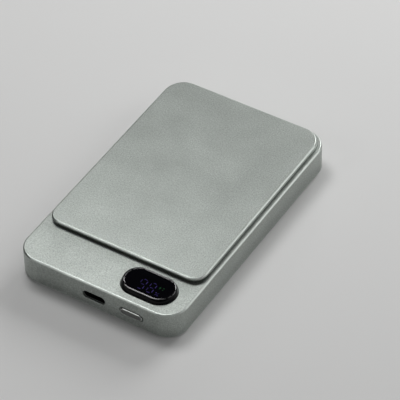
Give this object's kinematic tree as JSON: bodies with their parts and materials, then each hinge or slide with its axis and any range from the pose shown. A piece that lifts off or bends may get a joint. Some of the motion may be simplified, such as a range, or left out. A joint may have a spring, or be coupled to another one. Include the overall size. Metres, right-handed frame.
{
  "type": "power bank",
  "caption": "Slim magnetic power bank with a hinged stand plate, raised charge display, power button and USB-C socket; its flat magnetic face clings to a phone.",
  "frame": {"origin": "middle of the flat magnetic face that clings to the phone, under the middle of the case", "axes": "+X across the case, to the right as seen from the socket end; +Y along the case, away from the socket end and towards the hinge; +Z away from the phone"},
  "size_m": [0.0646, 0.1035, 0.0132],
  "materials": {
    "sage_metal": "fine-blasted and anodised satin, warm grey-green",
    "gloss_black": "polished black",
    "matt_black": "fine moulded grain",
    "polished_metal": "polished grey metal",
    "soft_grip": "soft-touch silicone",
    "steel": "plain stamped steel",
    "copper_wire": "enamelled copper",
    "gold_contact": "gold plate",
    "board": "green solder mask",
    "ferrite": "dull dark grey",
    "cell_foil": "laminated pouch foil",
    "pale_plastic": "plain moulded",
    "bronze_washer": "plain bronze",
    "foam": "closed-cell foam",
    "ceramic": "fired ceramic",
    "bead_blue": "epoxy bead",
    "ribbon_amber": "polyimide ribbon",
    "lit_violet": "dim violet lit bars",
    "lit_green": "dim green lit mark"
  },
  "bodies": {
    "case": {"top_housing": "sage_metal", "bottom_cover": "sage_metal", "grip_pad": "soft_grip", "coil_carrier": "pale_plastic", "ring_magnets": "steel", "shield_ring": "steel", "alignment_magnet": "steel", "charging_coil": "copper_wire", "coil_leads": "copper_wire", "ferrite_sheet": "ferrite", "battery_cell": "cell_foil", "battery_tabs": "steel", "battery_adhesive": "pale_plastic", "battery_foam": "foam", "thermistor": "bead_blue", "main_board": "board", "board_screws": "steel", "control_chips": "matt_black", "power_inductors": "ferrite", "ceramic_capacitors": "ceramic", "usb_shell": "steel", "usb_tongue": "matt_black", "usb_contacts": "gold_contact", "tact_switch": "steel", "display_frame": "gloss_black", "display_lens": "gloss_black", "display_board": "board", "light_shroud": "matt_black", "digit_bars": "lit_violet", "status_marks": "lit_green", "display_ribbon": "ribbon_amber", "catch_plates": "steel", "rest_bumpers": "soft_grip", "hinge_washers": "bronze_washer", "hinge_bracket": "steel", "bracket_screws": "steel"},
    "stand": {"stand_plate": "sage_metal", "stand_liner": "matt_black", "stand_magnets": "steel", "hinge_leaf": "steel", "leaf_rivets": "steel", "hinge_pin": "steel"},
    "button": {"power_button": "polished_metal", "switch_plunger": "matt_black"}
  },
  "joints": [
    {"name": "stand_hinge", "type": "hinge", "parent": "case", "child": "stand", "pos_m": [0, 0.0489, 0.0119], "axis": [-1, 0, 0], "range_deg": [0, 90]},
    {"name": "button_press", "type": "slide", "parent": "case", "child": "button", "axis": [0, 1, 0], "range_m": [0, 0.0003], "stiffness_N_per_m": 4000, "springref_m": -0.0001}
  ]
}
